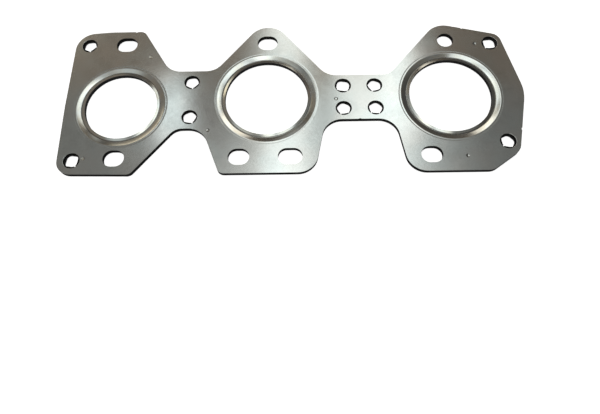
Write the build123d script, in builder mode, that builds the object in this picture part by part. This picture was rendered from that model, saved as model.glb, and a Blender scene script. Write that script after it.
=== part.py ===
from build123d import *
from math import cos, hypot, pi, sin
import os

# Exhaust manifold gasket: an embossed front sheet, a beaded middle sheet and a coated back sheet.
# Three ports and seven stud holes go through the stack. Ten pierced ties hold it together: the
# back sheet is cut into petals there, which stand up through a clear hole of the middle sheet and
# fill a round hole of the front sheet. The six ties of the necks stand in a dish. All sizes are in
# millimetres. The origin is the centre of the middle port on the back face, +X runs to the right
# port and +Z leaves the front.

# Sheet metal
front_t = 0.3
middle_t = 0.3
back_t = 0.4

# Ports
left_port_x = -80.6
left_port_y = -4.1
right_port_x = 101.4
left_port_r = 20.0
middle_port_r = 22.9
right_port_r = 22.6
middle_setback = 0.15
middle_inset = 0.4

# Bead round each port, measured outwards from the port's edge
bead_depth = 0.7
bead_width = 4.3
bead_valley_in = 1.65
bead_valley_out = 2.05
bead_lip_rise = 0.45
bead_border = 0.8

# Stud holes. The outer ones are placed from their ports
stud_row_y = 36.1
stud_slot_w = 9.4
slot_length = 11.5
long_slot_length = 13.1
upper_left_slot_length = 12.0
upper_left_stud_lift = 0.5
round_hole_r = 4.55
upper_left_stud_shift = -0.9
lower_left_stud_shift = -0.3
inner_left_stud_x = -14.2
inner_right_stud_x = 13.2
upper_middle_stud_x = 0.1
lower_right_stud_shift = -13.5
upper_right_stud_shift = 0.5

# Corner ties: how far out from their port, and how far inside or outside the stud rows
left_corner_reach = 22.6
upper_left_corner_rise = 0.3
lower_left_corner_rise = 1.0
upper_right_corner_reach = 25.5
upper_right_corner_rise = -2.5
lower_right_corner_reach = 27.2
lower_right_corner_rise = -7.1

# Pierced ties. Each opening is a polygon whose corners are blunted to the corner radius
tie_r = 3.45
tie_corner_r = 3.7
few_petals_count = 4
more_petals_count = 5
tie_bend_r = 0.35
tie_split = 0.9
tie_split_root = 0.15
tie_fit = 0.1
tie_clearance = 0.3
corner_seat_r = 5.0
recess_depth = 0.35
recess_r = 5.95
recess_slope = 0.3
recess_border = 0.6
left_tie_reach = 38.6
left_tie_upper_y = 10.5
left_tie_lower_y = -11.7
right_tie_reach = 41.55
right_tie_spacing = 17.45
right_tie_upper_y = 6.8
right_tie_lower_y = -7.5

# Margins from the holes to the sheet's edge
stud_edge = 9.5
left_corner_edge = 7.8
right_corner_edge = 5.7
ear_tip_rise = 17.8
right_ear_rise = 11.7
right_ear_back = 4.5
right_flank_reach = 40.6
right_flank_y = 1.4
left_flank_bow = 0.7
inner_right_edge = 13.0
inner_left_edge = 10.2
lower_right_edge = 11.9
lower_right_cut = 9.7

# Necks
neck_1_top = 17.7
neck_1_bottom = -18.8
neck_1_top_half = 12.8
neck_1_bottom_half = 7.3
neck_2_top = 13.6
neck_2_bottom = -14.4
neck_2_top_half = 17.5
neck_2_bottom_half = 18.9

# Rounding of the outline
big_corner_r = 11.0
mid_corner_r = 8.0
small_corner_r = 4.0
ear_r = 12.0
tight_corner_r = 6.0
flank_r = 25.0
bow_r = 60.0

# Small marks of the pressing
dimple_r = 1.1
dimple_depth = 0.14
nick_r = 0.9
nick_depth = 0.35
ear_nick_share = 0.42
flank_nick_share = 0.65

# Levels of the stack, from the back face up
middle_z = recess_depth + back_t
crest_z = middle_z + middle_t + bead_depth
front_z = crest_z + bead_depth
top_z = front_z + front_t

# Places of the stud holes and ties
upper_left_stud_x = left_port_x + upper_left_stud_shift
lower_left_stud_x = left_port_x + lower_left_stud_shift
lower_right_stud_x = right_port_x + lower_right_stud_shift
upper_right_stud_x = right_port_x + upper_right_stud_shift
left_corner_x = left_port_x - left_corner_reach
upper_left_corner_y = stud_row_y + upper_left_corner_rise
lower_left_corner_y = -stud_row_y - lower_left_corner_rise
upper_right_corner_x = right_port_x + upper_right_corner_reach
upper_right_corner_y = stud_row_y + upper_right_corner_rise
lower_right_corner_x = right_port_x + lower_right_corner_reach
lower_right_corner_y = -stud_row_y - lower_right_corner_rise
left_tie_x = left_port_x + left_tie_reach
right_tie_far_x = right_port_x - right_tie_reach
right_tie_near_x = right_tie_far_x - right_tie_spacing

# Middles of the two necks
neck_1_x = left_tie_x
neck_2_x = (right_tie_near_x + right_tie_far_x) / 2

# Corners of the outline, clockwise from the upper left, each with its radius
upper_edge = stud_row_y + stud_edge
upper_left_corner = (left_corner_x - left_corner_edge, upper_left_corner_y + left_corner_edge)
upper_right_tip = (upper_right_corner_x + right_corner_edge, upper_right_corner_y + right_corner_edge)
right_ear = (upper_right_stud_x - right_ear_back, stud_row_y + right_ear_rise)
right_flank = (right_port_x + right_flank_reach, right_flank_y)
lower_right_tip = (lower_right_corner_x + right_corner_edge, lower_right_corner_y - right_corner_edge)
lower_left_corner = (left_corner_x - left_corner_edge, lower_left_corner_y - left_corner_edge)
outline = [
    (upper_left_corner, big_corner_r),
    ((upper_left_stud_x - stud_edge, upper_edge), flank_r),
    ((upper_left_stud_x + stud_edge, upper_edge), small_corner_r),
    ((neck_1_x - neck_1_top_half, neck_1_top), big_corner_r),
    ((neck_1_x + neck_1_top_half, neck_1_top), big_corner_r),
    ((upper_middle_stud_x, stud_row_y + ear_tip_rise), ear_r),
    ((neck_2_x - neck_2_top_half, neck_2_top), ear_r),
    ((neck_2_x + neck_2_top_half, neck_2_top), mid_corner_r),
    (right_ear, ear_r),
    (upper_right_tip, tight_corner_r),
    (right_flank, flank_r),
    (lower_right_tip, mid_corner_r),
    ((lower_right_corner_x - lower_right_cut, -upper_edge), mid_corner_r),
    ((lower_right_stud_x - lower_right_edge, -upper_edge), big_corner_r),
    ((neck_2_x + neck_2_bottom_half, neck_2_bottom), big_corner_r),
    ((neck_2_x - neck_2_bottom_half, neck_2_bottom), big_corner_r),
    ((inner_right_stud_x + inner_right_edge, -upper_edge), big_corner_r),
    ((inner_left_stud_x - inner_left_edge, -upper_edge), small_corner_r),
    ((neck_1_x + neck_1_bottom_half, neck_1_bottom), big_corner_r),
    ((neck_1_x - neck_1_bottom_half, neck_1_bottom), mid_corner_r),
    ((lower_left_stud_x + stud_edge, -upper_edge), small_corner_r),
    (lower_left_corner, mid_corner_r),
    ((lower_left_corner[0] - left_flank_bow, left_port_y), bow_r),
]

ports = [
    (left_port_x, left_port_y, left_port_r),
    (0, 0, middle_port_r),
    (right_port_x, 0, right_port_r),
]

# Slots along X: centre and length
slots = [
    (lower_left_stud_x, -stud_row_y, slot_length),
    (inner_left_stud_x, -stud_row_y, slot_length),
    (inner_right_stud_x, -stud_row_y, long_slot_length),
    (lower_right_stud_x, -stud_row_y, slot_length),
    (upper_left_stud_x, stud_row_y + upper_left_stud_lift, upper_left_slot_length),
    (upper_middle_stud_x, stud_row_y, slot_length),
]

# Round stud hole
round_holes = [
    (upper_right_stud_x, stud_row_y, round_hole_r),
]

# Ties: centre, number of petals and the angle of the opening's first corner
neck_ties = [
    (left_tie_x, left_tie_upper_y, more_petals_count, 61),
    (left_tie_x, left_tie_lower_y, more_petals_count, 8),
    (right_tie_near_x, right_tie_upper_y, few_petals_count, 36),
    (right_tie_near_x, right_tie_lower_y, more_petals_count, 28),
    (right_tie_far_x, right_tie_upper_y, more_petals_count, 33),
    (right_tie_far_x, right_tie_lower_y, more_petals_count, 12),
]
corner_ties = [
    (left_corner_x, upper_left_corner_y, more_petals_count, 62),
    (left_corner_x, lower_left_corner_y, few_petals_count, 37),
    (upper_right_corner_x, upper_right_corner_y, few_petals_count, 50),
    (lower_right_corner_x, lower_right_corner_y, more_petals_count, 8),
]
ties = neck_ties + corner_ties

# Small dimples of the press in the front sheet
dimples = [
    (left_port_x + 13.5, stud_row_y - 8.2),
    (left_corner_x + 6.0, lower_left_corner_y + 1.2),
    (left_tie_x + 10.5, left_tie_lower_y - 8.3),
    (right_tie_near_x - 4.0, right_tie_lower_y + 5.9),
    (upper_right_corner_x - 8.5, upper_right_corner_y - 0.3),
    (right_port_x + 5.1, -stud_row_y - 1.1),
]


def blank():
    """Draws the sheet's outline in the sketch that is open."""
    with BuildLine() as edge:
        FilletPolyline(*[point for point, _ in outline], radius=[r for _, r in outline], close=True)
    make_face(edge.edges())


def punch(port_growth, hole_growth=0):
    """Cuts the ports and stud holes in the sketch that is open."""
    for x, y, r in ports:
        with Locations((x, y)):
            Circle(r + port_growth, mode=Mode.SUBTRACT)
    for x, y, length in slots:
        with Locations((x, y)):
            SlotOverall(length + 2 * hole_growth, stud_slot_w + 2 * hole_growth, mode=Mode.SUBTRACT)
    for x, y, r in round_holes:
        with Locations((x, y)):
            Circle(r + hole_growth, mode=Mode.SUBTRACT)


def bead_ring(x, y, port_r, level, side, thickness, setback):
    """Revolves the bead's section round one port. Side is 1 for a ridge and -1 for a groove."""
    edge = port_r + setback
    lip = bead_depth - bead_lip_rise * (bead_valley_in - setback) / bead_valley_in
    under = [
        (port_r + bead_width + bead_border, level),
        (port_r + bead_width, level),
        (port_r + bead_valley_out, level + side * bead_depth),
        (port_r + bead_valley_in, level + side * bead_depth),
        (edge, level + side * lip),
    ]
    over = [(r, z + thickness) for r, z in reversed(under)]
    section = Plane(origin=(x, y, 0), x_dir=(1, 0, 0), z_dir=(0, -1, 0))
    with BuildSketch(section) as profile:
        with BuildLine():
            Polyline(*under, *over, close=True)
        make_face()
    revolve(profile.sketch, axis=Axis((x, y, 0), (0, 0, 1)))


def tie_polygon(count, growth=0):
    """Draws the polygon of one tie: its corners are blunt, and the first is on +X."""
    turn = pi / count
    inner = tie_r + growth
    cut = (inner / cos(turn) - tie_corner_r - growth) / sin(turn)
    with BuildSketch() as polygon:
        RegularPolygon(inner, count, major_radius=False)
        chamfer(polygon.vertices(), cut)
    return polygon.sketch


def tie_reach(count):
    """Gives how far the petals of one tie reach out from its centre."""
    turn = pi / count
    outer = tie_r + back_t
    half_side = (tie_corner_r + back_t - outer * cos(turn)) / sin(turn)
    return hypot(outer, half_side)


def make_tie(count, roof, seat_r):
    """Builds one tie of the back sheet: petals round an opening, on a seat whose roof is given."""
    with BuildPart() as tie:
        with BuildSketch(Plane.XY.offset(roof)):
            Circle(seat_r)
        extrude(amount=back_t)
        with BuildSketch(Plane.XY.offset(roof)):
            add(tie_polygon(count, back_t))
        extrude(amount=top_z - roof)
        with BuildSketch(Plane.XY.offset(roof)):
            add(tie_polygon(count))
        extrude(amount=top_z - roof, mode=Mode.SUBTRACT)
        bends = tie.edges().filter_by(GeomType.LINE).filter_by_position(Axis.Z, roof, roof)
        fillet(bends, tie_bend_r)
        with BuildSketch(Plane.YZ):
            with BuildLine():
                Polyline(
                    (tie_split_root / 2, roof + back_t),
                    (tie_split / 2, top_z),
                    (-tie_split / 2, top_z),
                    (-tie_split_root / 2, roof + back_t),
                    close=True,
                )
            make_face()
        split_at_corner = extrude(amount=tie_reach(count), mode=Mode.PRIVATE)
        with PolarLocations(0, count):
            add(split_at_corner, mode=Mode.SUBTRACT)
    return tie.part


def dish(x, y):
    """Revolves the slope of one dish, from the flat sheet up to the seat of its tie."""
    section = Plane(origin=(x, y, 0), x_dir=(1, 0, 0), z_dir=(0, -1, 0))
    with BuildSketch(section) as slope:
        with BuildLine():
            Polyline(
                (recess_r - recess_slope, recess_depth),
                (recess_r, 0),
                (recess_r + recess_border, 0),
                (recess_r + recess_border, back_t),
                (recess_r + recess_slope, back_t),
                (recess_r, middle_z),
                (recess_r - recess_slope, middle_z),
                close=True,
            )
        make_face()
    revolve(slope.sketch, axis=Axis((x, y, 0), (0, 0, 1)))


def between(start, end, share):
    """Gives the point at a share of the way from one corner of the outline to another."""
    return (start[0] + (end[0] - start[0]) * share, start[1] + (end[1] - start[1]) * share)


def nick(point, outward):
    """Cuts one shallow nick in the front sheet's edge, with its centre outside the edge."""
    reach = (nick_r - nick_depth) / hypot(*outward)
    with Locations((point[0] + outward[0] * reach, point[1] + outward[1] * reach)):
        Circle(nick_r, mode=Mode.SUBTRACT)


# Nicks left where the strip held the blank: a point on the edge and the way out of it
neck_edge = (neck_2_x, neck_2_bottom)
ear_edge = between(right_ear, upper_right_tip, ear_nick_share)
flank_edge = between(right_flank, lower_right_tip, flank_nick_share)
lower_edge = (lower_left_stud_x - stud_edge, -upper_edge)
upper_left_edge = (upper_left_stud_x + stud_edge / 2, upper_edge)
nicks = [
    (neck_edge, (0, -1)),
    (ear_edge, (0, 1)),
    (flank_edge, (1, 0)),
    (lower_edge, (0, -1)),
    (upper_left_edge, (0, 1)),
]

# Front sheet: embossed steel, with a round hole that fits the petals at each tie
with BuildPart() as front_sheet:
    with BuildSketch(Plane.XY.offset(front_z)):
        blank()
        punch(bead_width + bead_border)
        for x, y, count, _ in ties:
            with Locations((x, y)):
                Circle(tie_reach(count) + tie_fit, mode=Mode.SUBTRACT)
        for point, outward in nicks:
            nick(point, outward)
    extrude(amount=front_t)
    for x, y, r in ports:
        bead_ring(x, y, r, front_z, -1, front_t, 0)
    dimple_ball_r = (dimple_r**2 + dimple_depth**2) / (2 * dimple_depth)
    with Locations(*[(x, y, top_z - dimple_depth + dimple_ball_r) for x, y in dimples]):
        Sphere(dimple_ball_r, mode=Mode.SUBTRACT)
front_sheet.part.label = "front_sheet"

# Middle sheet: the same beads pressed the other way, so that crest meets crest
with BuildPart() as middle_sheet:
    with BuildSketch(Plane.XY.offset(middle_z)):
        blank()
        offset(amount=-middle_inset)
        punch(bead_width + bead_border, middle_inset)
        for x, y, count, _ in ties:
            with Locations((x, y)):
                Circle(tie_reach(count) + tie_clearance, mode=Mode.SUBTRACT)
    extrude(amount=middle_t)
    for x, y, r in ports:
        bead_ring(x, y, r, middle_z, 1, middle_t, middle_setback)
middle_sheet.part.label = "middle_sheet"

# Back sheet: flat and coated, cut into petals at the ties and dished round those of the necks
petal_counts = (few_petals_count, more_petals_count)
neck_shapes = {count: make_tie(count, recess_depth, recess_r - recess_slope) for count in petal_counts}
corner_shapes = {count: make_tie(count, 0, corner_seat_r) for count in petal_counts}
with BuildPart() as back_sheet:
    with BuildSketch():
        blank()
        punch(0)
        with Locations(*[(x, y) for x, y, _, _ in neck_ties]):
            Circle(recess_r + recess_border, mode=Mode.SUBTRACT)
        with Locations(*[(x, y) for x, y, _, _ in corner_ties]):
            Circle(corner_seat_r, mode=Mode.SUBTRACT)
    extrude(amount=back_t)
    for x, y, count, angle in neck_ties:
        dish(x, y)
        with Locations(Location((x, y, 0), (0, 0, angle))):
            add(neck_shapes[count])
    for x, y, count, angle in corner_ties:
        with Locations(Location((x, y, 0), (0, 0, angle))):
            add(corner_shapes[count])
back_sheet.part.label = "back_sheet"

os.makedirs("parts", exist_ok=True)
export_step(front_sheet.part, "parts/front_sheet.step")
export_step(middle_sheet.part, "parts/middle_sheet.step")
export_step(back_sheet.part, "parts/back_sheet.step")
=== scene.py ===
"""Dresses the exhaust manifold gasket: its formed sheets, their finishes and a pale studio."""

import logging
import math
from abc import ABC, abstractmethod
from collections.abc import Iterable
from dataclasses import dataclass, field
from enum import Enum
from functools import reduce
from typing import Any

import bmesh
import bpy
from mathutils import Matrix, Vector


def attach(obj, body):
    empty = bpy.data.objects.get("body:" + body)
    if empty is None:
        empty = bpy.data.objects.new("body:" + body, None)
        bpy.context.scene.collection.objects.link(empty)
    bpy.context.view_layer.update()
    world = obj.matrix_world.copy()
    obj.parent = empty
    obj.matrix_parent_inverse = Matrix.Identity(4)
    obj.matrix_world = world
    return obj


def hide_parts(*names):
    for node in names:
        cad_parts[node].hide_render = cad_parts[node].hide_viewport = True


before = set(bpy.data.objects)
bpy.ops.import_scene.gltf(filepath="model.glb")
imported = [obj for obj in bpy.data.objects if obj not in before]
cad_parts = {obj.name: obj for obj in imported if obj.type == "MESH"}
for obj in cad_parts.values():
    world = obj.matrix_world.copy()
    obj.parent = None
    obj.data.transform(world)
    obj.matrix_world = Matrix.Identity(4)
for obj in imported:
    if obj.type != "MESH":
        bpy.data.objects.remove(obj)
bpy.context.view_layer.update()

MM = 0.001

Rgb = tuple[float, float, float]
Point = tuple[float, float, float]
Section = list[tuple[float, float]]
Row = list[bmesh.types.BMVert]
# Where a mask gives 0, and where it gives 1.
Limits = tuple[float, float]

EDGE_TILT: Limits = (0.75, 0.35)

log = logging.getLogger("gasket")


class SheetNode(Enum):
    """The sheets of the stack, by their names in the frame."""

    FRONT = "front_sheet"
    MIDDLE = "middle_sheet"
    BACK = "back_sheet"


class Slot(Enum):
    """The record's material slots for the sheets that are formed here."""

    FRONT = "front_steel"
    BACK = "back_coating"


@dataclass(frozen=True)
class Value:
    """A node's output that takes part in arithmetic."""

    shader: "Shader"
    socket: bpy.types.NodeSocket | None

    def _math(self, operation: str, *values: "Value | float") -> "Value":
        """Adds one Math node."""
        return self.shader.node("ShaderNodeMath", {"operation": operation}, dict(enumerate(values)))

    def _vector(self, operation: str, inputs: dict[int | str, Any], output: str) -> "Value":
        """Adds one Vector Math node."""
        return self.shader.node(
            "ShaderNodeVectorMath", {"operation": operation}, {0: self, **inputs}, output
        )

    def __add__(self, other: "Value | float") -> "Value":
        """Adds."""
        return self._math("ADD", self, other)

    def __radd__(self, other: float) -> "Value":
        """Adds, with the number first."""
        return self._math("ADD", other, self)

    def __sub__(self, other: "Value | float") -> "Value":
        """Subtracts."""
        return self._math("SUBTRACT", self, other)

    def __rsub__(self, other: float) -> "Value":
        """Subtracts from a number."""
        return self._math("SUBTRACT", other, self)

    def __mul__(self, other: "Value | float") -> "Value":
        """Multiplies."""
        return self._math("MULTIPLY", self, other)

    def __rmul__(self, other: float) -> "Value":
        """Multiplies, with the number first."""
        return self._math("MULTIPLY", other, self)

    def __truediv__(self, other: "Value | float") -> "Value":
        """Divides."""
        return self._math("DIVIDE", self, other)

    def __rtruediv__(self, other: float) -> "Value":
        """Divides a number."""
        return self._math("DIVIDE", other, self)

    def __abs__(self) -> "Value":
        """Gives the size without the sign."""
        return self._math("ABSOLUTE", self)

    def at_least(self, other: "Value | float") -> "Value":
        """Gives the greater of two values."""
        return self._math("MAXIMUM", self, other)

    def smooth(self, low: float, high: float) -> "Value":
        """Rises smoothly from 0 at one limit to 1 at the other.

        Args:
            low: The value that gives 0.
            high: The value that gives 1. It may be the lesser of the two.

        Returns:
            The share between the limits, with soft ends.
        """
        settings = {"interpolation_type": "SMOOTHSTEP"}
        if low <= high:
            return self.shader.node("ShaderNodeMapRange", settings, {0: self, 1: low, 2: high})
        return 1 - self.smooth(high, low)

    def length(self) -> "Value":
        """Gives a vector's length."""
        return self._vector("LENGTH", {}, "Value")

    def minus(self, point: Point) -> "Value":
        """Gives the vector from a fixed point."""
        return self._vector("SUBTRACT", {1: point}, "Vector")

    def stretched(self, factors: Point) -> "Value":
        """Multiplies each axis by its own number."""
        return self._vector("MULTIPLY", {1: factors}, "Vector")

    def flat_distance(self, x: float, y: float) -> "Value":
        """Gives a place's distance from an upright axis."""
        return self.minus((x, y, 0)).stretched((1, 1, 0)).length()

    def parts(self) -> tuple["Value", ...]:
        """Gives a vector's x, y and z."""
        split = self.shader.node("ShaderNodeSeparateXYZ", inputs={0: self})
        return tuple(Value(self.shader, socket) for socket in split.socket.node.outputs)


def greatest(values: Iterable[Value]) -> Value:
    """Gives the greatest of some values."""
    return reduce(Value.at_least, values)


@dataclass(frozen=True)
class Grain:
    """A soft noise: waves in a millimetre, octaves, fineness, and how it lies on the part."""

    per_mm: float
    octaves: float = 2
    fineness: float = 0.5
    start: Point | None = None
    stretch: Point | None = None


class Shader:
    """A node tree that is written as expressions."""

    def __init__(self, tree: bpy.types.NodeTree) -> None:
        """Takes a tree and empties it."""
        self.tree = tree
        tree.nodes.clear()

    @staticmethod
    def _find(sockets: Any, key: int | str) -> bpy.types.NodeSocket:
        """Finds a socket by its index, its identifier or its name."""
        named = {} if isinstance(key, int) else {socket.identifier: socket for socket in sockets}
        return named.get(key) or sockets[key]

    def node(
        self,
        kind: str,
        settings: dict[str, Any] | None = None,
        inputs: dict[int | str, Any] | None = None,
        output: int | str = 0,
    ) -> Value:
        """Adds one node.

        Args:
            kind: The node's type.
            settings: The node's properties.
            inputs: Values or links, by a socket's index, identifier or name.
            output: The socket that the result stands for.

        Returns:
            The chosen output, or an empty value for a node without any.
        """
        made = self.tree.nodes.new(kind)
        for name, setting in (settings or {}).items():
            setattr(made, name, setting)
        for key, value in (inputs or {}).items():
            socket = self._find(made.inputs, key)
            if isinstance(value, Value):
                self.tree.links.new(value.socket, socket)
            else:
                socket.default_value = value
        return Value(self, self._find(made.outputs, output) if made.outputs else None)

    def mix(self, share: Value | float, first: Value | Rgb, second: Value | Rgb) -> Value:
        """Mixes two colours.

        Args:
            share: How much of the second colour shows.
            first: The colour at 0.
            second: The colour at 1.

        Returns:
            The mixed colour.
        """
        colours = [c if isinstance(c, Value) else (*c, 1) for c in (first, second)]
        inputs = {"Factor_Float": share, "A_Color": colours[0], "B_Color": colours[1]}
        return self.node("ShaderNodeMix", {"data_type": "RGBA"}, inputs, "Result_Color")

    def plus(self, base: Value, colour: Rgb, share: Value) -> Value:
        """Adds a share of a colour to another.

        Args:
            base: The colour that is added to.
            colour: The colour that is added.
            share: How much of it is added.

        Returns:
            The sum, which may be brighter than 1.
        """
        settings = {"data_type": "RGBA", "blend_type": "ADD", "clamp_result": False}
        inputs = {"Factor_Float": share, "A_Color": base, "B_Color": (*colour, 1)}
        return self.node("ShaderNodeMix", settings, inputs, "Result_Color")

    def noise(self, at: Value, grain: Grain) -> Value:
        """Gives soft noise.

        Args:
            at: The place, in millimetres.
            grain: The kind of noise.

        Returns:
            The noise, from 0 to 1.
        """
        if grain.start:
            at = at.minus(grain.start)
        if grain.stretch:
            at = at.stretched(grain.stretch)
        inputs = {
            "Vector": at,
            "Scale": grain.per_mm,
            "Detail": grain.octaves,
            "Roughness": grain.fineness,
        }
        return self.node("ShaderNodeTexNoise", {}, inputs, "Fac")

    def place(self) -> Value:
        """Gives the place on the part, in millimetres."""
        metres = self.node("ShaderNodeTexCoord", output="Object")
        return metres.stretched((1 / MM, 1 / MM, 1 / MM))

    def tilt(self) -> Value:
        """Gives 1 on faces that look up, 0 on upright ones and -1 on those that look down."""
        return self.node("ShaderNodeNewGeometry", output="True Normal").parts()[2]

    def cut_edge(self) -> Value:
        """Gives 1 on the sheared edges of a sheet and 0 on its faces."""
        return abs(self.tilt()).smooth(*EDGE_TILT)

    def bump(self, height: Value, distance: float, below: Value | None = None) -> Value:
        """Tilts the surface by a height.

        Args:
            height: The height, from 0 to 1.
            distance: What a height of 1 stands for, in millimetres.
            below: The normal that it adds to.

        Returns:
            The tilted normal.
        """
        inputs = {"Height": height, "Distance": distance * MM, "Strength": 1}
        if below is not None:
            inputs["Normal"] = below
        return self.node("ShaderNodeBump", {}, inputs, "Normal")


class Finish(ABC):
    """A finish that a material is made from."""

    @abstractmethod
    def surface(self, shader: Shader) -> Value:
        """Gives the surface, as nodes of the material's tree."""

    def material(self, name: str) -> bpy.types.Material:
        """Makes the material.

        Args:
            name: The material's name.

        Returns:
            The material.
        """
        material = bpy.data.materials.new(name)
        material.use_nodes = True
        shader = Shader(material.node_tree)
        shader.node("ShaderNodeOutputMaterial", {}, {"Surface": self.surface(shader)})
        return material


@dataclass(frozen=True)
class Port:
    """One round port, in millimetres."""

    x: float
    y: float
    radius: float


PORTS = (Port(-80.6, -4.1, 20.0), Port(0, 0, 22.9), Port(101.4, 0, 22.6))


@dataclass(frozen=True)
class Dimple:
    """One press dimple: its place in millimetres and the painted highlight on its floor."""

    x: float
    y: float
    wear_and_highlight: float


DIMPLES = (
    Dimple(-67.1, 27.9, 1.0),
    Dimple(-97.2, -35.9, 0.3),
    Dimple(-31.5, -20.0, 0.0),
    Dimple(38.4, -1.6, 0.0),
    Dimple(118.4, 33.3, 0.0),
    Dimple(106.5, -37.2, 0.0),
)


@dataclass(frozen=True)
class RolledSteel(Finish):
    """Bright rolled stainless sheet with faint clouds, fine grain and straw-tinted beads. Painted
    shade darkens its grooves, dimples' rims, cut edges and underside, and a painted highlight
    brightens some dimples' floors.

    Heights and the limits round beads, grooves, rims and floors are in millimetres.
    """

    warm: Rgb = (0.615, 0.605, 0.585)
    cool: Rgb = (0.585, 0.605, 0.595)
    mottle: Rgb = (0.40, 0.395, 0.38)
    straw: Rgb = (0.66, 0.57, 0.41)
    # Painted shade: the dark colour of the dimples' rims.
    dimple: Rgb = (0.13, 0.125, 0.115)
    # Painted highlight: the pale colour given to a dimple's floor to stand for the light it
    # catches.
    wear_and_highlight: Rgb = (0.98, 0.95, 0.83)
    # Painted shade: the darkening in the beads' grooves.
    painted_groove_shade: Rgb = (0.12, 0.115, 0.105)
    # The upright cut edges: rougher sheared steel, painted near-black as shade along the edges and
    # in the holes.
    sheared: Rgb = (0.022, 0.021, 0.020)
    # Painted shade: the near-black of the faces that look down, inside the stack.
    under: Rgb = (0.03, 0.03, 0.03)
    clouds: Grain = Grain(0.045, 3)
    smudges: Grain = Grain(0.16, 4, 0.6, start=(40, 90, 0))
    blotches: Grain = Grain(0.11, 4, 0.62, start=(70, 20, 0))
    ripples: Grain = Grain(0.8)
    brushing: Grain = Grain(1.0, 3, 0.6, stretch=(0.25, 5, 5))
    waves: Grain = Grain(0.03, 1)
    cloud_limits: Limits = (0.35, 0.65)
    smudge_limits: Limits = (0.38, 0.62)
    blotch_limits: Limits = (0.45, 0.7)
    ripple_limits: Limits = (0.4, 0.7)
    under_limits: Limits = (0.2, -0.3)
    bead_limits: Limits = (5.6, 3.6)
    groove: float = 1.7
    groove_limits: Limits = (0.45, 0.1)
    dimple_rim: float = 0.85
    rim_limits: Limits = (0.35, 0.1)
    floor_limits: Limits = (1.1, 0.5)
    mottle_share: float = 0.22
    speckle_share: float = 0.1
    straw_share: float = 0.25
    groove_share: float = 0.55
    roughness: float = 0.12
    cloud_roughness: float = 0.05
    sheared_roughness: float = 0.6
    dimple_roughness: float = 0.3
    sheared_metal_loss: float = 0.6
    wave_height: float = 0.06
    ripple_height: float = 0.004
    brushing_height: float = 0.002

    def _on_beads(self, at: Value) -> Value:
        """Gives 1 in the beads round the ports and 0 outside them."""
        out = (at.flat_distance(port.x, port.y) - port.radius for port in PORTS)
        return greatest(distance.smooth(*self.bead_limits) for distance in out)

    def _in_grooves(self, at: Value) -> Value:
        """Gives 1 in the beads' grooves and 0 outside them."""
        out = (at.flat_distance(port.x, port.y) - (port.radius + self.groove) for port in PORTS)
        return greatest(abs(distance).smooth(*self.groove_limits) for distance in out)

    def _on_rims(self, at: Value) -> Value:
        """Gives 1 on the rims of the dimples and 0 away from them."""
        out = (at.flat_distance(dimple.x, dimple.y) - self.dimple_rim for dimple in DIMPLES)
        return greatest(abs(distance).smooth(*self.rim_limits) for distance in out)

    def _in_dimples(self, at: Value) -> Value:
        """Gives the painted highlight on the floors of the dimples, and 0 away from them."""
        floors = ((at.flat_distance(dimple.x, dimple.y), dimple.wear_and_highlight) for dimple in DIMPLES)
        return greatest(distance.smooth(*self.floor_limits) * wear_and_highlight for distance, wear_and_highlight in floors)

    def surface(self, shader: Shader) -> Value:
        """Gives the surface.

        Args:
            shader: The material's tree.

        Returns:
            The surface.
        """
        at = shader.place()
        clouds = shader.noise(at, self.clouds)
        smudges = shader.noise(at, self.smudges)
        blotches = shader.noise(at, self.blotches)
        ripples = shader.noise(at, self.ripples)
        edge = shader.cut_edge()
        rims = self._on_rims(at)
        wear_and_highlight = self._in_dimples(at)
        mottling = blotches.smooth(*self.blotch_limits) * self.mottle_share
        speckling = ripples.smooth(*self.ripple_limits) * self.speckle_share
        tint = self._on_beads(at) * smudges.smooth(*self.smudge_limits) * self.straw_share
        layers = (
            (mottling + speckling, self.mottle),
            (tint, self.straw),
            # Painted shade on the dimples' rims.
            (rims, self.dimple),
            # Painted highlight on the floors of some dimples.
            (wear_and_highlight, self.wear_and_highlight),
            # Painted shade in the beads' grooves.
            (self._in_grooves(at) * self.groove_share, self.painted_groove_shade),
            # Sheared cut edges, painted near-black as shade.
            (edge, self.sheared),
            # Painted shade on the faces that look down, inside the stack.
            (shader.tilt().smooth(*self.under_limits), self.under),
        )
        colour = shader.mix(clouds.smooth(*self.cloud_limits), self.warm, self.cool)
        for share, layer in layers:
            colour = shader.mix(share, colour, layer)
        rough = self.roughness + self.cloud_roughness * (clouds + smudges - 1)
        rough = rough + edge * (self.sheared_roughness - self.roughness)
        rough = rough + rims * (self.dimple_roughness - self.roughness)
        normal = shader.bump(shader.noise(at, self.waves), self.wave_height)
        normal = shader.bump(ripples, self.ripple_height, normal)
        normal = shader.bump(shader.noise(at, self.brushing), self.brushing_height, normal)
        # The cut edges' painted shade and the dimples' painted highlight also take metal away.
        metal = 1 - edge * self.sheared_metal_loss - wear_and_highlight
        inputs = {"Base Color": colour, "Metallic": metal, "Roughness": rough, "Normal": normal}
        return shader.node("ShaderNodeBsdfPrincipled", {}, inputs)


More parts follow.
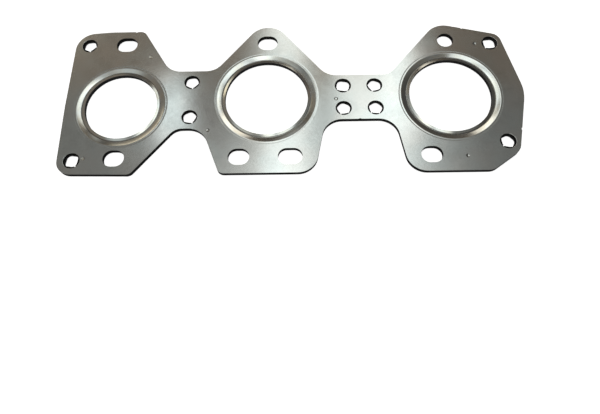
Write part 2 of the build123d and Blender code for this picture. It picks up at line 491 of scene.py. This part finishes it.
@dataclass(frozen=True)
class InnerSteel(Finish):
    """The plain stainless sheet inside the stack, seen at the ports' walls and through the ties.
    Its near-black colour is painted shade.
    """

    # Painted shade: the sheet's faces are near-black, as the inside of the stack lies in shade.
    face: Rgb = (0.075, 0.073, 0.07)
    # The cut edges: sheared steel, painted near-black as shade.
    sheared: Rgb = (0.022, 0.021, 0.02)
    clouds: Grain = Grain(0.2, 3)
    brushing: Grain = Grain(1.0, 3, 0.6, stretch=(0.3, 6, 6))
    brushing_height: float = 0.002
    metal: float = 0.7
    roughness: float = 0.45
    cloud_roughness: float = 0.1
    sheared_roughness: float = 0.15

    def surface(self, shader: Shader) -> Value:
        """Gives the surface.

        Args:
            shader: The material's tree.

        Returns:
            The surface.
        """
        at = shader.place()
        clouds = shader.noise(at, self.clouds)
        edge = shader.cut_edge()
        # Near-black faces and edges: painted shade.
        colour = shader.mix(edge, shader.mix(clouds, self.face, self.sheared), self.sheared)
        rough = self.roughness + self.cloud_roughness * clouds + self.sheared_roughness * edge
        normal = shader.bump(shader.noise(at, self.brushing), self.brushing_height)
        inputs = {
            "Base Color": colour,
            "Metallic": self.metal,
            "Roughness": rough,
            "Normal": normal,
        }
        return shader.node("ShaderNodeBsdfPrincipled", {}, inputs)


@dataclass(frozen=True)
class CharcoalCoat(Finish):
    """The dark heat-proof coating of the back sheet, brushed across, with painted shade on its
    petals.

    Heights, and the limits between which the petals stand up, are in millimetres.
    """

    coat: Rgb = (0.030, 0.031, 0.034)
    wear_and_highlight: Rgb = (0.062, 0.062, 0.066)
    bare: Rgb = (0.05, 0.049, 0.047)
    # Painted shade: the near-black, barely reflecting colour of the petals, which line the ties'
    # holes.
    painted_petal_shade: Rgb = (0.006, 0.006, 0.006)
    streaks: Grain = Grain(1.0, 4, 0.65, stretch=(3.2, 0.06, 1))
    clouds: Grain = Grain(0.06, 3)
    speckle: Grain = Grain(2.4)
    wear_limits: Limits = (0.42, 0.72)
    least_wear: float = 0.4
    chip_limits: Limits = (0.55, 0.8)
    chip_share: float = 0.5
    petal_limits: Limits = (0.8, 1.2)
    metal: float = 0.35
    roughness: float = 0.42
    cloud_roughness: float = 0.16
    wear_gloss: float = 0.12
    petal_shade_roughness: float = 0.8
    petal_shade_specular: float = 0.05
    streak_height: float = 0.006
    speckle_height: float = 0.004

    def surface(self, shader: Shader) -> Value:
        """Gives the surface.

        Args:
            shader: The material's tree.

        Returns:
            The surface.
        """
        at = shader.place()
        streaks = shader.noise(at, self.streaks)
        clouds = shader.noise(at, self.clouds)
        speckle = shader.noise(at, self.speckle)
        wear = streaks.smooth(*self.wear_limits) * (self.least_wear + clouds)
        chips = shader.cut_edge() * speckle.smooth(*self.chip_limits) * self.chip_share
        colour = shader.mix(chips, shader.mix(wear, self.coat, self.wear_and_highlight), self.bare)
        rough = self.roughness + self.cloud_roughness * clouds - self.wear_gloss * wear
        normal = shader.bump(speckle, self.speckle_height)
        normal = shader.bump(streaks, self.streak_height, normal)
        inputs = {
            "Base Color": colour,
            "Metallic": self.metal,
            "Roughness": rough,
            "Normal": normal,
        }
        coated = shader.node("ShaderNodeBsdfPrincipled", {}, inputs)
        # Painted shade on the petals: near-black, rough and with little specular.
        inputs = {
            "Base Color": (*self.painted_petal_shade, 1),
            "Roughness": self.petal_shade_roughness,
            "Specular IOR Level": self.petal_shade_specular,
        }
        painted_petal_shade = shader.node("ShaderNodeBsdfPrincipled", {}, inputs)
        petals = at.parts()[2].smooth(*self.petal_limits)
        return shader.node("ShaderNodeMixShader", {}, {0: petals, 1: coated, 2: painted_petal_shade})


@dataclass(frozen=True)
class PaleFloor(Finish):
    """A near-white studio floor that keeps only a trace of the part's shadow."""

    colour: Rgb = (0.9, 0.9, 0.9)
    light: Rgb = (1.0, 1.0, 1.0)
    glow: float = 0.9
    specular: float = 0.1
    grain: Grain = Grain(0.5)
    roughness: float = 0.75
    grain_roughness: float = 0.1

    def surface(self, shader: Shader) -> Value:
        """Gives the surface.

        Args:
            shader: The material's tree.

        Returns:
            The surface.
        """
        grain = shader.noise(shader.place(), self.grain)
        inputs = {
            "Base Color": (*self.colour, 1),
            "Roughness": self.roughness + self.grain_roughness * grain,
            "Specular IOR Level": self.specular,
            "Emission Color": (*self.light, 1),
            "Emission Strength": self.glow,
        }
        return shader.node("ShaderNodeBsdfPrincipled", {}, inputs)


@dataclass(frozen=True)
class Tie:
    """One pierced tie: its centre in millimetres, its petals and the angle of its first corner."""

    x: float
    y: float
    petals: int
    angle: float
    dished: bool = True


TIES = (
    Tie(-42.0, 10.5, 5, 61),
    Tie(-42.0, -11.7, 5, 8),
    Tie(42.4, 6.8, 4, 36),
    Tie(42.4, -7.5, 5, 28),
    Tie(59.85, 6.8, 5, 33),
    Tie(59.85, -7.5, 5, 12),
    Tie(-103.2, 36.4, 5, 62, False),
    Tie(-103.2, -37.1, 4, 37, False),
    Tie(126.9, 33.6, 4, 50, False),
    Tie(128.6, -29.0, 5, 8, False),
)


@dataclass(frozen=True)
class Bead:
    """The embossed bead round a port, in millimetres.

    Sizes in plan are measured out from the port's edge, and depths down from the flat.
    """

    width: float = 4.3
    groove_out: float = 2.1
    groove_in: float = 1.35
    groove_floor: float = 0.3
    depth: float = 0.7
    flank_drop: float = 0.54
    lip_rise: float = 0.45
    lip_flank_rise: float = 0.28
    join: float = 6.4
    moat_rim: float = 6.0
    moat: float = 5.35
    moat_depth: float = 0.03
    crest: float = 4.6
    bend_r: float = 2.5
    groove_bend_r: float = 0.3
    bend_share: float = 0.45
    bend_steps: int = 5
    ring_steps: int = 240

    def section(self) -> Section:
        """Gives the top of the bead's section, from the flat inwards to the port's edge.

        Returns:
            Points as (distance out from the port's edge, height from the flat).
        """
        lip = (0.0, self.lip_rise - self.depth)
        middle = (self.groove_out + self.groove_in) / 2
        corners = [
            (self.moat_rim, 0.0, self.bend_r),
            (self.moat, -self.moat_depth, self.bend_r),
            (self.crest, 0.0, self.bend_r),
            (self.groove_out, -self.flank_drop, self.groove_bend_r),
            (middle + self.groove_floor / 2, -self.depth, self.groove_bend_r),
            (middle - self.groove_floor / 2, -self.depth, self.groove_bend_r),
            (self.groove_in, lip[1] - self.lip_flank_rise, self.groove_bend_r),
        ]
        ends = [Vector(end) for end in ((self.join, 0.0), *[(r, z) for r, z, _ in corners], lip)]
        points = [(self.join, 0.0)]
        for before, corner, after, (_, _, radius) in zip(ends, ends[1:], ends[2:], corners):
            back, ahead = before - corner, after - corner
            longest = min(back.length * self.bend_share, ahead.length * self.bend_share)
            reach = min(radius * math.tan((math.pi - back.angle(ahead)) / 2), longest)
            start = corner + back.normalized() * reach
            end = corner + ahead.normalized() * reach
            for step in range(self.bend_steps + 1):
                share = step / self.bend_steps
                bent = start.lerp(corner, share).lerp(corner.lerp(end, share), share)
                points.append((bent.x, bent.y))
        return [*points, lip]


@dataclass(frozen=True)
class Collar:
    """A tie's dish, and its petals round a polygon with round corners, in millimetres."""

    wall_r: float = 3.45
    corner_r: float = 2.35
    rim_r: float = 6.5
    shoulder_r: float = 6.2
    floor_r: float = 5.35
    plain_r: float = 4.97
    dish_depth: float = 0.35
    fold_r: float = 0.8
    slit_half: float = 0.42
    slit_root: float = 0.06
    dish_steps: int = 6
    fold_steps: int = 5
    wall_steps: int = 4
    side_steps: int = 14

    def half_side(self, tie: Tie) -> float:
        """Gives half the length of the wall on one side of the polygon."""
        half_turn = math.pi / tie.petals
        return (self.wall_r - self.corner_r) * math.tan(half_turn) + self.corner_r * half_turn

    def wall_point(self, tie: Tie, side: int, share: float, out: float) -> tuple[float, float]:
        """Gives a point beside the tie's wall.

        Args:
            tie: The tie.
            side: Which side of the polygon.
            share: How far along that side, from 0 at one corner to 1 at the next.
            out: How far outside the wall.

        Returns:
            The point's x and y.
        """
        half_turn = math.pi / tie.petals
        half_flat = (self.wall_r - self.corner_r) * math.tan(half_turn)
        along = (share - 0.5) * 2 * self.half_side(tie)
        bend = max(abs(along) - half_flat, 0) / self.corner_r
        radius = self.corner_r + out
        axial = self.wall_r - self.corner_r + radius * math.cos(bend)
        tangential = math.copysign(min(abs(along), half_flat) + radius * math.sin(bend), along)
        turn = math.radians(tie.angle) + (2 * side + 1) * half_turn
        return (
            tie.x + axial * math.cos(turn) - tangential * math.sin(turn),
            tie.y + axial * math.sin(turn) + tangential * math.cos(turn),
        )

    def circle_point(self, tie: Tie, side: int, share: float, radius: float) -> tuple[float, float]:
        """Gives the point at a radius that lies behind a point of the wall.

        Args:
            tie: The tie.
            side: Which side of the polygon.
            share: How far along that side, from 0 at one corner to 1 at the next.
            radius: The distance from the tie's centre.

        Returns:
            The point's x and y.
        """
        x, y = self.wall_point(tie, side, share, 0)
        scale = radius / math.hypot(x - tie.x, y - tie.y)
        return tie.x + (x - tie.x) * scale, tie.y + (y - tie.y) * scale

    def places(self, tie: Tie) -> list[tuple[int, float]]:
        """Gives the places round a tie, each as a side and the share along it."""
        shares = [step / self.side_steps for step in range(self.side_steps)]
        return [(side, share) for side in range(tie.petals) for share in shares]

    def floor_level(self, tie: Tie) -> float:
        """Gives the height of the sheet's back face at the petals' roots."""
        return self.dish_depth if tie.dished else 0.0

    def dish(self, tie: Tie) -> Section:
        """Gives the section round a tie, from the flat sheet to the dish's floor.

        Args:
            tie: The tie. One that isn't dished has only the end of the flat.

        Returns:
            Points as (radius, rise).
        """
        if not tie.dished:
            return [(self.plain_r, 0.0)]
        section = [(self.rim_r, 0.0)]
        for step in range(self.dish_steps + 1):
            share = step / self.dish_steps
            radius = self.shoulder_r + (self.floor_r - self.shoulder_r) * share
            section.append((radius, self.dish_depth * (1 - math.cos(math.pi * share)) / 2))
        return section

    def fold(self, tie: Tie, thickness: float) -> Section:
        """Gives the bend from floor to petal.

        Args:
            tie: The tie.
            thickness: How far the face lies outside the petals' inner side.

        Returns:
            Points as (distance outside the wall, rise).
        """
        radius = self.fold_r - thickness
        section = []
        for step in range(self.fold_steps + 1):
            turn = math.pi / 2 * step / self.fold_steps
            rise = self.fold_r - radius * math.cos(turn)
            section.append((self.fold_r - radius * math.sin(turn), self.floor_level(tie) + rise))
        return section


@dataclass
class Sheet:
    """A formed sheet that starts from the frame's own outline and holes.

    Its two levels are the heights of its flat faces, the upper one first. Lengths are in
    millimetres and angles in degrees.
    """

    node: SheetNode
    levels: tuple[float, float]
    collar: Collar = Collar()
    near: float = 0.02
    weld: float = 0.0001
    crease_angle: float = 28.0
    rim_crease_angle: float = 9.5
    mesh: bmesh.types.BMesh = field(init=False, repr=False)

    def __post_init__(self) -> None:
        """Starts from the frame's mesh."""
        self.mesh = bmesh.new()
        self.mesh.from_mesh(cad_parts[self.node.value].data)
        bmesh.ops.remove_doubles(self.mesh, verts=self.mesh.verts, dist=self.weld * MM)

    def _vertex(self, x: float, y: float, z: float) -> bmesh.types.BMVert:
        """Adds a vertex that is given in millimetres."""
        return self.mesh.verts.new((x * MM, y * MM, z * MM))

    def _flat_at(self, element: bmesh.types.BMFace | bmesh.types.BMEdge, level: float) -> bool:
        """Tells whether a face or an edge lies at a level."""
        return all(abs(v.co.z / MM - level) < self.near for v in element.verts)

    def _strip(self, rounds: list[tuple[float, float, float]]) -> None:
        """Takes away the flat faces and what lies within round places.

        Args:
            rounds: The places, as x, y and radius.
        """
        gone = [
            face
            for face in self.mesh.faces
            if any(self._flat_at(face, level) for level in self.levels)
            or any(
                all(math.hypot(v.co.x / MM - x, v.co.y / MM - y) < radius for v in face.verts)
                for x, y, radius in rounds
            )
        ]
        bmesh.ops.delete(self.mesh, geom=gone, context="FACES")

    def _skin(self, rows: list[Row], closed: bool) -> None:
        """Joins rows of vertices with faces.

        Args:
            rows: The rows, with as many vertices each.
            closed: Whether the rows run round to their start.
        """
        for first, second in zip(rows, rows[1:]):
            count = len(first)
            for step in range(count if closed else count - 1):
                after = (step + 1) % count
                self.mesh.faces.new((first[step], first[after], second[after], second[step]))

    def _wall_row(self, tie: Tie, out: float, z: float) -> Row:
        """Adds a ring of vertices beside the wall of a tie."""
        places = self.collar.places(tie)
        return [self._vertex(*self.collar.wall_point(tie, *place, out), z) for place in places]

    def _circle_row(self, tie: Tie, radius: float, z: float) -> Row:
        """Adds a circle of vertices round a tie, each behind one of the wall's."""
        places = self.collar.places(tie)
        return [self._vertex(*self.collar.circle_point(tie, *place, radius), z) for place in places]

    def _fill(self) -> None:
        """Fills the flat faces between the outline, the holes and the formed places."""
        for level in self.levels:
            edges = [e for e in self.mesh.edges if e.is_boundary and self._flat_at(e, level)]
            bmesh.ops.triangle_fill(self.mesh, use_beauty=True, edges=edges, normal=(0, 0, 1))

    def _crease(self) -> None:
        """Smooths the bends and keeps the sheared edges and the dimples' rims crisp."""
        for face in self.mesh.faces:
            face.smooth = True
        for edge in self.mesh.edges:
            turn = math.degrees(edge.calc_face_angle(0))
            rim = any(self._flat_at(f, level) for f in edge.link_faces for level in self.levels)
            edge.smooth = turn < (self.rim_crease_angle if rim else self.crease_angle)

    def _finish(self, name: str, material: bpy.types.Material, slot: Slot) -> bpy.types.Object:
        """Turns the mesh into the piece that stands for the frame's node.

        Args:
            name: The piece's name.
            material: Its material.
            slot: The record's material slot. It is not used.

        Returns:
            The piece.
        """
        self._fill()
        bmesh.ops.recalc_face_normals(self.mesh, faces=self.mesh.faces)
        self._crease()
        open_edges = sum(1 for edge in self.mesh.edges if not edge.is_manifold)
        data = bpy.data.meshes.new(name)
        self.mesh.to_mesh(data)
        self.mesh.free()
        piece = bpy.data.objects.new(name, data)
        bpy.context.scene.collection.objects.link(piece)
        data.materials.append(material)
        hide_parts(self.node.value)
        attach(piece, "root")
        log.info("%s: %d faces, %d open edges", name, len(data.polygons), open_edges)
        return piece


@dataclass
class FrontSheet(Sheet):
    """The embossed front sheet, with bent beads and a hole round the petals of each tie.

    The holes' radii go by the number of petals.
    """

    node: SheetNode = SheetNode.FRONT
    levels: tuple[float, float] = (2.75, 2.45)
    bead: Bead = Bead()
    hole_rs: dict[int, float] = field(default_factory=lambda: {4: 4.415, 5: 4.3})
    rim_r: float = 0.12
    rim_steps: int = 3
    strip_r: float = 5.2

    def _add_bead(self, port: Port) -> None:
        """Adds the bead round a port.

        Args:
            port: The port.
        """
        top = self.bead.section()
        upper, lower = self.levels
        section = [(r, upper + z) for r, z in top] + [(r, lower + z) for r, z in reversed(top)]
        turns = [math.tau * step / self.bead.ring_steps for step in range(self.bead.ring_steps)]
        rings = [
            [
                self._vertex(
                    port.x + (port.radius + r) * math.cos(turn),
                    port.y + (port.radius + r) * math.sin(turn),
                    z,
                )
                for turn in turns
            ]
            for r, z in section
        ]
        self._skin(rings, True)

    def _add_hole(self, tie: Tie) -> None:
        """Adds the round hole that fits a tie's petals, with a slightly rounded rim.

        Args:
            tie: The tie.
        """
        upper, lower = self.levels
        hole_r = self.hole_rs[tie.petals]
        section = []
        for step in range(self.rim_steps + 1):
            turn = math.pi / 2 * step / self.rim_steps
            radius = hole_r + self.rim_r * (1 - math.sin(turn))
            section.append((radius, upper - self.rim_r * (1 - math.cos(turn))))
        section.append((hole_r, lower))
        self._skin([self._circle_row(tie, r, z) for r, z in section], True)

    def build(self) -> bpy.types.Object:
        """Makes the sheet.

        Returns:
            The sheet.
        """
        rounds = [(port.x, port.y, port.radius + self.bead.width + self.near) for port in PORTS]
        self._strip(rounds + [(tie.x, tie.y, self.strip_r) for tie in TIES])
        for port in PORTS:
            self._add_bead(port)
        for tie in TIES:
            self._add_hole(tie)
        return self._finish("embossed_front", RolledSteel().material("rolled_steel"), Slot.FRONT)


@dataclass
class BackSheet(Sheet):
    """The coated back sheet, dished and pierced into petals at the ties."""

    node: SheetNode = SheetNode.BACK
    levels: tuple[float, float] = (0.4, 0.0)
    petal_top: float = 2.75
    dished_strip_r: float = 6.58
    plain_strip_r: float = 5.02

    def _side(self, tie: Tie, level: float, thickness: float) -> list[Row]:
        """Adds one face of a tie, from the flat sheet to the petals' roots.

        Args:
            tie: The tie.
            level: The height of the sheet's face.
            thickness: How far the face lies outside the petals' inner side.

        Returns:
            The face's rows, from the rim to the roots.
        """
        rows = [self._circle_row(tie, r, level + z) for r, z in self.collar.dish(tie)]
        rows += [self._wall_row(tie, out, z) for out, z in self.collar.fold(tie, thickness)]
        self._skin(rows, True)
        return rows

    def _petal_side(self, tie: Tie, side: int, out: float, root: Row) -> list[Row]:
        """Adds one face of a petal, which narrows a little towards its end.

        Args:
            tie: The tie.
            side: Which side of the polygon.
            out: How far the face lies outside the wall.
            root: The row that the petal stands on.

        Returns:
            The face's rows, with the root first.
        """
        collar = self.collar
        start = root[0].co.z / MM
        length = 2 * collar.half_side(tie)
        rows = [root]
        for index in range(1, collar.wall_steps + 1):
            rise = index / collar.wall_steps
            slit = (collar.slit_root + (collar.slit_half - collar.slit_root) * rise) / length
            row = []
            for step in range(collar.side_steps + 1):
                share = slit + (1 - 2 * slit) * step / collar.side_steps
                x, y = collar.wall_point(tie, side, share, out)
                row.append(self._vertex(x, y, start + (self.petal_top - start) * rise))
            rows.append(row)
        self._skin(rows, False)
        return rows

    def _add_tie(self, tie: Tie) -> None:
        """Adds the dish and the petals of a tie.

        Args:
            tie: The tie.
        """
        upper, lower = self.levels
        thickness = upper - lower
        inner_roots = self._side(tie, lower, 0)[-1]
        outer_roots = self._side(tie, upper, thickness)[-1]
        steps = self.collar.side_steps
        for side in range(tie.petals):
            span = [(side * steps + step) % len(inner_roots) for step in range(steps + 1)]
            inner = self._petal_side(tie, side, 0, [inner_roots[i] for i in span])
            outer = self._petal_side(tie, side, thickness, [outer_roots[i] for i in span])
            for edge in (0, -1):
                self._skin([[row[edge] for row in inner], [row[edge] for row in outer]], False)
            self._skin([inner[-1], outer[-1]], False)

    def build(self) -> bpy.types.Object:
        """Makes the sheet.

        Returns:
            The sheet.
        """
        strip_rs = {True: self.dished_strip_r, False: self.plain_strip_r}
        self._strip([(tie.x, tie.y, strip_rs[tie.dished]) for tie in TIES])
        for tie in TIES:
            self._add_tie(tie)
        return self._finish("coated_back", CharcoalCoat().material("charcoal_coat"), Slot.BACK)


@dataclass(frozen=True)
class MiddleSheet:
    """The middle sheet, which keeps the frame's own shape."""

    node: SheetNode = SheetNode.MIDDLE

    def dress(self) -> None:
        """Gives the sheet its finish."""
        material = InnerSteel().material("inner_steel")
        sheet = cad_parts[self.node.value]
        for slot in sheet.material_slots:
            slot.material = material
        log.info("%s: %d faces", sheet.name, len(sheet.data.polygons))


@dataclass(frozen=True)
class Span:
    """A stretch along one direction of the ceiling, from its centre, with soft ends."""

    centre: float
    half: float
    soft: float

    def mask(self, at: Value) -> Value:
        """Gives 1 in the stretch and 0 away from it."""
        return abs(at - self.centre).smooth(self.half + self.soft, self.half)


@dataclass(frozen=True)
class Panel:
    """One soft panel on the studio's ceiling: a light, or a shade that mixes the tint in.

    A place on the ceiling is where a direction meets it one unit up: across along X, deep along Y.
    """

    across: Span
    deep: Span
    strength: float
    tint: Rgb = (0.93, 1.0, 0.985)

    def mask(self, across: Value, deep: Value) -> Value:
        """Gives 1 on the panel and 0 away from it, with soft edges."""
        return self.across.mask(across) * self.deep.mask(deep)


@dataclass(frozen=True)
class Dome:
    """The studio round the part: soft light panels in a dim room, with pale walls low down."""

    panels: tuple[Panel, ...] = (
        Panel(Span(-0.308, 0.0, 0.062), Span(0.595, 0.03, 0.12), 1.85, (0.9, 1.0, 1.01)),
        Panel(Span(-0.14, 0.04, 0.09), Span(0.35, 0.12, 0.14), 0.33),
        Panel(Span(-0.045, 0.02, 0.075), Span(0.4, 0.5, 0.2), 1.3),
        Panel(Span(0.148, 0.075, 0.035), Span(0.4, 0.5, 0.2), 1.02),
        Panel(Span(0.225, 0.025, 0.05), Span(0.67, 0.07, 0.06), 0.7),
        Panel(Span(0.2, 0.05, 0.15), Span(0.47, 0.08, 0.15), 0.4),
        Panel(Span(0.02, 0.1, 0.14), Span(0.2, 0.15, 0.2), 0.35),
        Panel(Span(0.15, 0.08, 0.1), Span(1.2, 0.2, 0.2), 1.45, (1.0, 0.955, 0.84)),
        Panel(Span(-0.75, 0.1, 0.14), Span(1.05, 0.12, 0.15), 1.3, (1.0, 0.93, 0.72)),
        Panel(Span(-0.30, 0.03, 0.12), Span(1.15, 0.06, 0.14), 0.35),
        Panel(Span(-0.38, 0.06, 0.15), Span(0.1, 0.15, 0.12), 0.45),
        Panel(Span(0.107, 0.012, 0.03), Span(0.64, 0.04, 0.04), 0.14),
        Panel(Span(-0.392, 0.005, 0.035), Span(0.49, 0.01, 0.05), 0.18),
        Panel(Span(0.43, 0.03, 0.05), Span(0.47, 0.02, 0.04), 0.035),
    )
    shades: tuple[Panel, ...] = (
        Panel(Span(0.02, 0.015, 0.045), Span(0.705, 0.03, 0.05), 0.75, (0.32, 0.27, 0.2)),
        Panel(Span(-0.264, 0.01, 0.03), Span(0.64, 0.03, 0.05), 0.42, (0.24, 0.245, 0.24)),
        Panel(Span(-0.322, 0.006, 0.03), Span(0.545, 0.01, 0.04), 0.3, (0.45, 0.46, 0.45)),
        Panel(Span(0.222, 0.01, 0.03), Span(0.465, 0.03, 0.05), 0.45, (0.35, 0.35, 0.34)),
        Panel(Span(0.285, 0.01, 0.035), Span(0.78, 0.03, 0.05), 0.35, (0.13, 0.12, 0.11)),
        Panel(Span(0.405, 0.02, 0.04), Span(0.705, 0.03, 0.05), 0.35, (0.10, 0.09, 0.08)),
    )
    dim_left: Rgb = (0.235, 0.235, 0.222)
    dim_right: Rgb = (0.185, 0.187, 0.178)
    brown_left: Rgb = (0.255, 0.222, 0.182)
    brown_right: Rgb = (0.20, 0.172, 0.14)
    far: Rgb = (0.11, 0.098, 0.085)
    side_left: Rgb = (0.24, 0.215, 0.185)
    side_right: Rgb = (0.085, 0.083, 0.078)
    wall: Rgb = (0.9, 0.9, 0.9)
    right_limits: Limits = (-0.1, 0.3)
    brown_limits: Limits = (0.6, 0.72)
    far_limits: Limits = (0.85, 1.0)
    side_left_limits: Limits = (-0.5, -0.8)
    side_right_limits: Limits = (0.48, 0.7)
    wall_limits: Limits = (0.24, 0.10)
    least_up: float = 0.05

    def build(self) -> None:
        """Makes the world."""
        world = bpy.data.worlds.new("studio_dome")
        bpy.context.scene.world = world
        world.use_nodes = True
        shader = Shader(world.node_tree)
        x, y, z = shader.node("ShaderNodeTexCoord", output="Generated").parts()
        up = z.at_least(self.least_up)
        across, deep = x / up, y / up
        right = across.smooth(*self.right_limits)
        dim = shader.mix(right, self.dim_left, self.dim_right)
        brown = shader.mix(right, self.brown_left, self.brown_right)
        sky = shader.mix(deep.smooth(*self.brown_limits), dim, brown)
        sky = shader.mix(deep.smooth(*self.far_limits), sky, self.far)
        sky = shader.mix(across.smooth(*self.side_left_limits), sky, self.side_left)
        sky = shader.mix(across.smooth(*self.side_right_limits), sky, self.side_right)
        for panel in self.panels:
            lit = tuple(panel.strength * part for part in panel.tint)
            sky = shader.plus(sky, lit, panel.mask(across, deep))
        for panel in self.shades:
            sky = shader.mix(panel.mask(across, deep) * panel.strength, sky, panel.tint)
        sky = shader.mix(z.smooth(*self.wall_limits), sky, self.wall)
        light = shader.node("ShaderNodeBackground", {}, {"Color": sky})
        shader.node("ShaderNodeOutputWorld", {}, {"Surface": light})


@dataclass(frozen=True)
class Studio:
    """The floor, the room's light and the camera.

    Lengths are in millimetres, angles in degrees, and the image and its centre in pixels.
    """

    floor_half: float = 3000.0
    floor_drop: float = 0.05
    floor_cells: int = 8
    camera_at: Point = (22.824, -154.012, 244.794)
    camera_turn: Point = (20.150, 1.152, -0.321)
    lens: float = 30.475
    sensor: float = 36.0
    clip: tuple[float, float] = (10.0, 20000.0)
    centre_offset: float = 0.5
    image_width: int = 600

    def build(self) -> None:
        """Makes the studio."""
        self._camera()
        self._floor()
        Dome().build()
        bpy.context.scene.view_settings.view_transform = "Standard"

    def _camera(self) -> None:
        """Places the camera where the part is seen as in its photograph."""
        data = bpy.data.cameras.new("camera")
        data.lens = self.lens
        data.sensor_width = self.sensor
        data.sensor_fit = "HORIZONTAL"
        data.shift_x = -self.centre_offset / self.image_width
        data.shift_y = self.centre_offset / self.image_width
        data.clip_start, data.clip_end = (distance * MM for distance in self.clip)
        camera = bpy.data.objects.new("camera", data)
        camera.location = [value * MM for value in self.camera_at]
        camera.rotation_euler = [math.radians(value) for value in self.camera_turn]
        bpy.context.scene.collection.objects.link(camera)
        bpy.context.scene.camera = camera

    def _floor(self) -> None:
        """Lays the floor under the part."""
        cells, half = self.floor_cells, self.floor_half * MM
        mesh = bmesh.new()
        bmesh.ops.create_grid(mesh, x_segments=cells, y_segments=cells, size=half)
        data = bpy.data.meshes.new("floor")
        mesh.to_mesh(data)
        mesh.free()
        floor = bpy.data.objects.new("floor", data)
        floor.location.z = -self.floor_drop * MM
        bpy.context.scene.collection.objects.link(floor)
        data.materials.append(PaleFloor().material("pale_floor"))


def main() -> None:
    """Builds the studio and the part's looks."""
    logging.basicConfig(level=logging.INFO, format="%(name)s: %(message)s")
    Studio().build()
    BackSheet().build()
    MiddleSheet().dress()
    FrontSheet().build()


if __name__ == "__main__":
    main()
